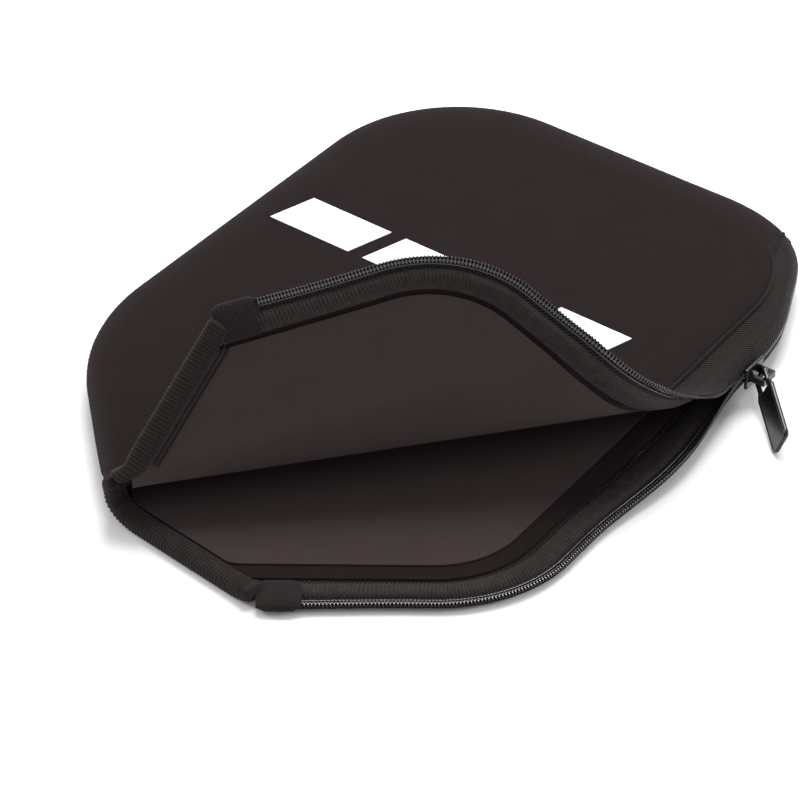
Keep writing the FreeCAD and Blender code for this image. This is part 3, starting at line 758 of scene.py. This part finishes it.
def fan_panel(number):
    """The foam panel and lining beyond fold line number, up to the next line or the hem."""
    last = number == LAST
    body = BODY_OF_FOLD[number]
    high = FOLD_DIRS[number - 1]
    low = THROAT_DIR if last else FOLD_DIRS[number]
    theta = np.linspace(high, low, 61 if last else 11)
    direction = ray(theta)
    edge = crossing(APEX, direction, inset, 0.0, RAY_NEAR)
    deep = crossing(APEX, direction, inset, PANEL_DEEP, edge * 0.5)
    along = RAY_START + (deep - RAY_START)[None] * np.linspace(0, 1, 56)[:, None]
    rows = [direction * r[:, None] for r in along]
    rows += [direction * crossing(APEX, direction, inset, level, edge * 0.5)[:, None]
             for level in (17.0, 15.0, 14.3, 13.6, BAND - 0.2)]
    p = APEX + np.array(rows)
    depth = inset(p)
    s = gone_at(p)
    p_sprung = sprung(p, s, depth, True)
    z = flap_height(p_sprung, depth)
    outer = fan(p_sprung, z - edge_drop(depth - BAND + 0.2))
    inner = fan(p_sprung, z - FOAM)
    ending = "" if last else f"_{number}"
    start = "flap" if last else "fold"
    thick_sheet(f"{start}_panel_cloth{ending}", outer, inner, JERSEY, body, [f"{start}_panel{ending}"],
                "neoprene_knit", plane_marks(p), foam=True, open_sides=True)
    kept = slice(0, -2)
    lined = [fan(p_sprung, z - FOAM - lift)[kept] for lift in LINING_FACES]
    thick_sheet(f"{start}_lining_cloth{ending}", *lined, LINING, body, [f"{start}_lining{ending}"],
                "lining_knit", plane_marks(p[kept]), "folded")


for number in range(1, LAST + 1):
    fan_panel(number)


# ------ zip side
STRIP_END = 0.5       # the strips stop this much before the zip's open end
RIDGE_DEPTH = 8.6     # middle of the overlocked ridge, from the rim
RIDGE_HALF = 4.1
RIDGE_HIGH = 1.5
RIB_HIGH = 0.36
RIB_SLANT = 0.12      # of s for each mm of depth
RIDGE_STARTS = 8.0    # past the zip's closed end
COIL_STARTS = 3.5
TOOTH_LONG = 3.1
TOOTH_WIDE = 0.46     # half widths
TOOTH_HIGH = 0.62
TOOTH_IN = 1.15       # its middle, inside the rim
TOOTH_AIM = 2.2       # depth at which it points
FLAP_TEETH_LIFT = TAPE * 0.9  # from the tape's outer face
BACK_TEETH_LIFT = TAPE + 0.5
TOOTH_RINGS = ((-1.0, 0.35), (-0.82, 0.8), (-0.4, 1.0), (0.4, 1.0), (0.82, 0.8), (1.0, 0.35))
COIL_CORDS = ((1.3, 0.4), (2.7, 0.35))  # depth and radius of the cords that run through the coil
PIPING_R = 0.75
PIPING_OUT = 0.55     # its middle, above the tape


def fold_stations(depth):
    """The s at which the flap's strips cross each fold line, at a depth from the rim."""
    s = np.linspace(-30, 120, 3001)
    p = sprung(rim(s, depth)[0], s, np.full_like(s, depth), True)
    theta = polar(p)[1]
    return [float(s[np.argmin(np.abs(theta - direction))]) for direction in FOLD_DIRS]


def flap_runs(depth, start, end):
    """The runs of the front's zip side: the body, the run's number and its ends along the rim."""
    cuts = [start] + fold_stations(depth) + [end]
    return [(BODY_OF_FOLD[k], k, cuts[k], cuts[k + 1]) for k in range(len(cuts) - 1)]


def stations(start, end, step):
    """Evenly spaced places along the rim."""
    return np.linspace(start, end, max(2, int(round((end - start) / step)) + 1))


def strip_grid(depths, start, end, step, k=None):
    """The s of a strip's grid, a row for each depth. On the front's run k it ends on the fold lines."""
    if k is None:
        return np.tile(stations(start, end, step), (len(depths), 1))
    cuts = np.array([[start] + fold_stations(depth) + [end] for depth in depths])
    first = cuts[:, k, None]
    last = cuts[:, k + 1, None]
    return first + (last - first) * stations(0, 1, step / float((last - first).mean()))


def strip_name(k, layer):
    """Piece and CAD node names of a front strip on run k."""
    if k == 0:
        return f"front_{layer}"
    return f"flap_{layer}" if k == LAST else f"fold_{layer}_{k}"


def zip_tape(name, body, start, end, cad, k=None):
    """Herringbone tape from the rim to under the panel's edge: on the back, or on the front's run k."""
    flap = k is not None
    share = 1 - np.cos(np.linspace(0, math.pi / 2, 12))
    s = strip_grid((BAND + TUCK) * share, start, end, 2.0, k)
    depth = np.maximum(band_width(s) + TUCK, 1.0) * share[:, None]
    outer = rim_point(s, depth, 0.0, flap)
    inner = rim_point(s, depth, TAPE, flap)
    p = rim(s, depth)[0]
    thick_sheet(name, outer, inner, HERRINGBONE, body, cad, "zip_tape", plane_marks(p, s, depth),
                "folded" if flap else "laid")


def ribbed_edge(name, body, start, end, cad, k=None):
    """The rolled, overlocked edge inside the tape: a low ridge with a rib for each stitch."""
    flap = k is not None
    t = np.linspace(-1, 1, 9)[:, None]
    depth = RIDGE_DEPTH + RIDGE_HALF * t
    s = strip_grid(depth[:, 0], start, end, RIB / 6, k)
    depth = np.broadcast_to(depth, s.shape)
    dome = RIDGE_HIGH * (1 - t ** 4)
    ribs = RIB_HIGH * np.cos(2 * math.pi * (s + RIB_SLANT * depth) / RIB) * (1 - t ** 6)
    lower = rim_point(s, depth, TAPE - 0.2, flap)
    upper = rim_point(s, depth, TAPE + dome + ribs, flap)
    thick_sheet(name, upper, lower, OVERLOCK, body, cad, "overlock_thread")


def tooth_mesh(middle, direction, side):
    """A capsule lying along a direction, as points and faces."""
    up = unit(np.cross(direction, side))
    corners = 6
    points = []
    for t, swell in TOOTH_RINGS:
        at = middle + direction * (t * TOOTH_LONG / 2)
        for a in full_turn(corners):
            points.append(at + swell * (side * math.cos(a) * TOOTH_WIDE + up * math.sin(a) * TOOTH_HIGH))
    return points, tube_faces(len(TOOTH_RINGS), corners)


def teeth(name, body, start, end, flap, cad):
    """One row of zip coil: a capsule for each loop, and the cords through them."""
    points, faces = [], []
    shift = 0 if flap else PITCH / 2
    places = np.arange(math.ceil(start / PITCH) * PITCH, end, PITCH) + shift
    places = places[places < end]
    lift = FLAP_TEETH_LIFT if flap else BACK_TEETH_LIFT
    near = rim_point(places, 0.0, lift, flap)
    far = rim_point(places, TOOTH_AIM, lift, flap)
    ahead = rim_point(places + 0.3, 0.0, lift, flap)
    for base, inner, after in zip(near, far, ahead):
        direction = unit(inner - base)
        side = unit(after - base)
        join(points, faces, *tooth_mesh(base + direction * TOOTH_IN, direction, side))
    s = stations(start, end, 2.0)
    for depth, radius in COIL_CORDS:
        join(points, faces, *tube_mesh(rim_point(s, depth, lift, flap), radius))
    piece(name, np.array(points), faces, COIL, body, cad)


def tube_mesh(path, radius):
    """A round tube along a path, closed at both ends."""
    corners = 8
    along = unit(np.gradient(path, axis=0))
    side = unit(np.cross(along, np.where(np.abs(along[:, 2:]) > 0.9, (1.0, 0, 0), (0, 0, 1.0))))
    up = np.cross(along, side)
    turn = full_turn(corners)
    ring = side[:, None] * np.cos(turn)[None, :, None] + up[:, None] * np.sin(turn)[None, :, None]
    return (path[:, None] + radius * ring).reshape(-1, 3), tube_faces(len(path), corners)


def piping(name, body, start, end, cad):
    """The corded seam where the panel's edge meets the tape."""
    s = stations(start, end, 1.0)
    depth = band_width(s) - 0.1
    points, faces = tube_mesh(rim_point(s, depth, -PIPING_OUT, True), PIPING_R)
    piece(name, points, faces, SEAM, body, cad)


for k, body in enumerate(BODY_OF_FOLD):
    node = strip_name(k, "zip_tape")
    zip_tape(node + "_weave", body, S_TOP, S_END - STRIP_END, [node], k)
    node = {0: "front_edge_overlock", LAST: "flap_edge_overlock"}.get(k, f"fold_overlock_{k}")
    ribbed_edge(node + "_ribs", body, S_TOP + RIDGE_STARTS, S_END - STRIP_END, [node], k)
for body, k, start, end in flap_runs(0.0, S_TOP + COIL_STARTS, S_END - TAB):
    node = strip_name(k, "zip_coil")
    teeth(node + "_teeth", body, start, end, True, [node])
for body, k, start, end in flap_runs(BAND, S_TOP + 1.0, S_END - 1.0):
    named = {0: ["front_piping"], LAST: ["flap_piping"]}.get(k, [])
    piping(strip_name(k, "piping") + "_cord", body, start, end, named)
zip_tape("back_zip_tape_weave", "case", S_TOP, S_END - STRIP_END, ["back_zip_tape"])
ribbed_edge("back_edge_overlock_ribs", "case", S_TOP + RIDGE_STARTS, S_END - 4.0, ["back_edge_overlock"])
teeth("back_zip_coil_teeth", "case", S_TOP + COIL_STARTS, S_END - TAB, False, ["back_zip_coil"])


# ------ bound edges and tabs
HEM_RIB = 0.26        # height of a stitch's rib
HEM_END = 2.2         # the hem's ends round off over this length
HEM_CORNERS = 22
HEM_LEAVES = 8.0      # length over which the flap's hem leaves the throat corner
MOUTH_LEAVES = 12.0   # and the mouth's
TAB_CORNERS = 26
TAB_MIDDLE = 5.6      # depth of the tab's middle line
TAB_HALF_WIDE = 7.2
TAB_HALF_THICK = 2.3
TAB_END = 7           # rings over which its ends round off
STITCH_R = 0.42
STITCH_LINES = (HEM + 0.4, HEM + 2.0)  # inside the throat line
FLAP_REACH = float(crossing(APEX, ALONG_THROAT[None], inset, 0.0, RAY_NEAR)[0])


def sweep(path, side, up, wide, thick, c, d):
    """Rings of points along a path, from the two coordinates of an outline and their scales."""
    return (path[:, None] + side[:, None] * wide[:, None, None] * c[None, :, None]
            + up[:, None] * thick[:, None, None] * d[None, :, None])


def bar_mesh(path, side, gone):
    """A bound edge: a flat bar swept along a path, narrower at its start, with a rib for each stitch."""
    up = unit(np.cross(unit(np.gradient(path, axis=0)), side))
    c, d = squarish(full_turn(HEM_CORNERS), 0.62)
    rib = HEM_RIB * np.cos(2 * math.pi * line_length(path) / RIB)
    thick = HEM_HALF_THICK + rib
    wide = HEM / 2 * (HEM_THIN + (1 - HEM_THIN) * smooth(gone / HEM_SWELLS)) + rib * 0.6
    count = len(path)
    from_end = np.minimum(np.arange(count), np.arange(count)[::-1]) * RIB_STEP
    ends = np.sqrt(np.clip(1 - np.clip(1 - (from_end + 0.15) / HEM_END, 0, 1) ** 2, 0.01, 1))
    groove = 1 - 0.30 * np.exp(-((c - 0.5) / 0.12) ** 2) * (np.abs(d) > 0.5)
    points = sweep(path, side, up, wide * ends, thick * ends, c, d * groove)
    return points.reshape(-1, 3), tube_faces(count, HEM_CORNERS)


def flap_hem():
    """The bound throat edge of the flap, from the throat corner to the zip's end."""
    r = np.arange(0.4, FLAP_REACH - 3.0, RIB_STEP)
    past_corner = smooth(r / HEM_LEAVES)
    middle = APEX + r[:, None] * ALONG_THROAT + INTO_CASE * HEM_IN * past_corner[:, None]
    droop = flap_height(middle, inset(middle))
    level = (droop - FOAM / 2 - 0.4) * past_corner + (THICK - 1.0) * (1 - past_corner)
    side = unit(fan(middle + INTO_CASE, level) - fan(middle - INTO_CASE, level))
    points, faces = bar_mesh(fan(middle, level), side, r)
    piece("flap_hem_bound", points, faces, BINDING, "flap", ["flap_hem_binding"])


def hem_stitches():
    """Two raised lines of stitches beside the flap's bound edge, on the lining."""
    r = np.arange(12.0, FLAP_REACH - 9.0, 0.6)
    points, faces = [], []
    for offset in STITCH_LINES:
        line = APEX + r[:, None] * ALONG_THROAT + INTO_CASE * offset
        wave = 0.2 * np.cos(2 * math.pi * r / STITCH)
        level = flap_height(line, inset(line)) - FOAM - 0.75 - wave
        join(points, faces, *tube_mesh(fan(line, level), STITCH_R))
    piece("flap_hem_stitches", np.array(points), faces, SEAM, "flap", [])


def mouth_hem():
    """The bound edge of the case's mouth: round the throat corner and along the back.

    Its knots are the length along the throat line and the height.
    """
    lean = float(INWARD[NECK_CORNER] @ ALONG_THROAT)
    front = [(2.4 / lean, 19.6), (1.6 / lean, 18.4), (0.5 / lean, 16.0)]
    wall = [(0.0, 12.6), (0.0, 10.0), (0.3, 7.4)]
    under = [(1.4 / lean, 4.9), (3.4 / lean, 3.1), (6.2 / lean, 2.3)]
    reach = float(np.linalg.norm(rim(S_END)[0] - THROAT_LEFT))
    floor = [(t, 2.25) for t in (13.0, 22.0, 34.0, 46.0, reach - 20.0, reach - 13.0)]
    rise = [(reach - 8.0, 3.1), (reach - 4.0, 5.4)]
    knots = np.array(front + wall + under + floor + rise)
    gone = line_length(knots)
    even = np.arange(0, gone[-1], RIB_STEP)
    line = follow(even, gone, knots)
    half = 11
    window = np.hanning(2 * half + 1)
    window /= window.sum()
    padded = np.concatenate([np.repeat(line[:1], half, 0), line, np.repeat(line[-1:], half, 0)])
    line = np.stack([np.convolve(padded[:, k], window, "valid") for k in (0, 1)], axis=-1)
    gone = np.arange(len(line)) * RIB_STEP
    out = HEM_IN * smooth(gone / MOUTH_LEAVES)
    p = THROAT_LEFT + line[:, :1] * ALONG_THROAT + INTO_CASE * out[:, None]
    path = np.concatenate([p, line[:, 1:]], axis=-1)
    side = np.broadcast_to(np.append(INTO_CASE, 0.0), path.shape)
    points, faces = bar_mesh(path, side, gone)
    piece("mouth_hem_bound", points, faces, BINDING, "case", ["back_throat_binding"])


def corner_tab(name, body, flap, cad):
    """The woven tab folded over the end of a zip row."""
    s = stations(S_END - TAB, S_END + (2.4 if flap else 1.0), 0.5)
    middle = rim_point(s, TAB_MIDDLE, TAPE / 2 + (0.4 if flap else 1.2), flap)
    side = unit(rim_point(s, 7.5, TAPE / 2, flap) - rim_point(s, 3.0, TAPE / 2, flap))
    up = unit(np.cross(unit(np.gradient(middle, axis=0)), side))
    c, d = squarish(full_turn(TAB_CORNERS), 0.75)
    count = len(s)
    ends = 0.5 + 0.5 * smooth(np.minimum(np.arange(count), np.arange(count)[::-1]) / TAB_END)
    points = sweep(middle, side, up, TAB_HALF_WIDE * ends ** 0.3, TAB_HALF_THICK * ends, c, d)
    along, depth = np.broadcast_arrays(s[:, None], TAB_MIDDLE + 7.4 * c[None])
    place = np.stack([along, depth, np.zeros_like(depth)], axis=-1).reshape(-1, 3)
    piece(name, points.reshape(-1, 3), tube_faces(count, TAB_CORNERS), TAB_WEAVE, body, cad,
          {"edge": place, "cloth": place})


flap_hem()
hem_stitches()
mouth_hem()
corner_tab("flap_corner_tab_weave", "flap", True, ["flap_corner_tab"])
corner_tab("back_corner_tab_weave", "case", False, ["back_corner_tab"])


SEAM_STARTS = 14.0    # past the throat's left end
SEAM_HALF_WIDE = 1.9
SEAM_PROUD = 0.35
SEAM_RUNG = 0.18      # each stitch stands out by this much more


def side_seam():
    """The sewn seam round the closed edge of the case, a low ladder of stitches."""
    t = np.linspace(-1, 1, 7)[:, None]
    left_end = S_LEFT - ROUND * (S_LEFT > 0)
    s = stations(left_end + SEAM_STARTS, S_TOP, 0.5)[None, :] + 0 * t
    p, inward = rim(s)
    p = p + inward * drawn_in(s, np.zeros_like(s))[..., None]
    rung = SEAM_RUNG * (np.cos(2 * math.pi * s / STITCH) > 0.2)
    proud = (SEAM_PROUD + rung) * (1 - t ** 4)
    z = np.broadcast_to(MID + SEAM_HALF_WIDE * t, proud.shape)
    outer = np.concatenate([p - inward * proud[..., None], z[..., None]], axis=-1)
    inner = np.concatenate([p + inward * 0.4, z[..., None]], axis=-1)
    thick_sheet("side_seam_stitching", outer, inner, SEAM, "case", ["closed_seam_tape"], "binding_tape")


side_seam()

# ------ metal and print
CAD_FINISH = {
    "slider_outer_plate": ENAMEL,
    "slider_inner_plate": ENAMEL,
    "slider_bridge": ENAMEL,
    "puller": ENAMEL,
    "zip_top_stop": COIL,
    "printed_mark": PRINT,
}
for node, material in CAD_FINISH.items():
    for holder in frame["nodes"][node].material_slots:
        holder.material = material

PULLER_HANGS = np.array([0.674, -0.711, -0.23])  # from its cross-bar
# right half of the plate's outline from the cross-bar down: length along it and half width
PULLER_PLAN = np.array([
    (-0.4, 3.3), (0.2, 3.6), (6.0, 3.6), (9.0, 5.1), (10.0, 5.1), (33.6, 5.1), (34.6, 4.7), (35.1, 3.8)])
BEAD_HALF_WIDE = 0.75
BEAD_HALF_THICK = 0.95
BEAD_RINGS = 160
BEAD_CORNERS = 10


def puller_bead():
    """The rounded raised edge round the puller's plate."""
    swing = next(joint for joint in frame["joints"] if joint["name"] == "puller_swing")
    pivot = np.array(swing["pos_m"]) / MM
    axis = unit(np.array(swing["axis"], float))
    hang = unit(PULLER_HANGS - axis * (PULLER_HANGS @ axis))
    loop = np.concatenate([PULLER_PLAN, PULLER_PLAN[::-1] * (1, -1), PULLER_PLAN[:1]])
    gone = line_length(loop)
    even = np.linspace(0, gone[-1], BEAD_RINGS, endpoint=False)
    flat = follow(even, gone, loop)
    path = pivot + flat[:, :1] * hang + flat[:, 1:] * axis
    ahead = unit(np.roll(path, -1, axis=0) - np.roll(path, 1, axis=0))
    up = np.cross(hang, axis)
    out = np.cross(ahead, up)
    turn = full_turn(BEAD_CORNERS)
    ring = (out[:, None] * np.cos(turn)[None, :, None] * BEAD_HALF_WIDE
            + up * np.sin(turn)[None, :, None] * BEAD_HALF_THICK)
    points = (path[:, None] + ring).reshape(-1, 3)
    faces = grid_faces(BEAD_RINGS, BEAD_CORNERS, 0, True)
    last = (BEAD_RINGS - 1) * BEAD_CORNERS
    for j in range(BEAD_CORNERS):
        after = (j + 1) % BEAD_CORNERS
        faces.append((last + j, last + after, after, j))
    piece("puller_bead", points, faces, ENAMEL, "puller", [])


puller_bead()

# ------ floor, light and camera
FLOOR_HALF = 6        # metres, as all of this section
FLOOR_UNDER = 0.0004
corners = [(-FLOOR_HALF, -FLOOR_HALF, 0), (FLOOR_HALF, -FLOOR_HALF, 0),
           (FLOOR_HALF, FLOOR_HALF, 0), (-FLOOR_HALF, FLOOR_HALF, 0)]
floor_mesh = bpy.data.meshes.new("floor")
floor_mesh.from_pydata(corners, [], [(0, 1, 2, 3)])
floor = bpy.data.objects.new("floor", floor_mesh)
floor.location.z = -FLOOR_UNDER
bpy.context.scene.collection.objects.link(floor)
floor_material, floor_shader = principled("pale_floor", (0.93, 0.93, 0.93), 0.95, Specular_IOR_Level=0.1)
floor_mesh.materials.append(floor_material)

world = bpy.data.worlds.new("studio")
world.use_nodes = True
background = world.node_tree.nodes["Background"]
background.inputs["Color"].default_value = (1.0, 1.0, 1.0, 1)
background.inputs["Strength"].default_value = 0.55
bpy.context.scene.world = world
bpy.context.scene.view_settings.view_transform = "Standard"


def soft_light(name, position, size, power):
    """A square area light facing the case, in metres and watts."""
    light = bpy.data.lights.new(name, "AREA")
    light.shape = "SQUARE"
    light.size = size
    light.energy = power
    obj = bpy.data.objects.new(name, light)
    obj.location = position
    obj.rotation_euler = (-Vector(position)).to_track_quat("-Z", "Y").to_euler()
    bpy.context.scene.collection.objects.link(obj)


soft_light("overhead", (-0.35, 0.75, 1.35), 1.0, 30)
soft_light("window", (-1.3, -0.5, 0.9), 0.6, 9)
soft_light("rim", (1.2, 0.7, 0.7), 0.5, 7)

# the camera at the photograph's angle: its right, up and backward directions, and its place
camera_data = bpy.data.cameras.new("camera")
camera_data.lens = 166.5
camera_data.sensor_width = 36
camera = bpy.data.objects.new("camera", camera_data)
right = Vector((0.79943, 0.60075, 0.00274))
up = Vector((-0.37406, 0.49418, 0.78477))
back = Vector((0.47010, -0.62840, 0.61978))
place = Matrix.Translation((0.6581, -0.8892, 0.8557))
camera.matrix_world = place @ Matrix((right, up, back)).transposed().to_4x4()
bpy.context.scene.collection.objects.link(camera)
bpy.context.scene.camera = camera
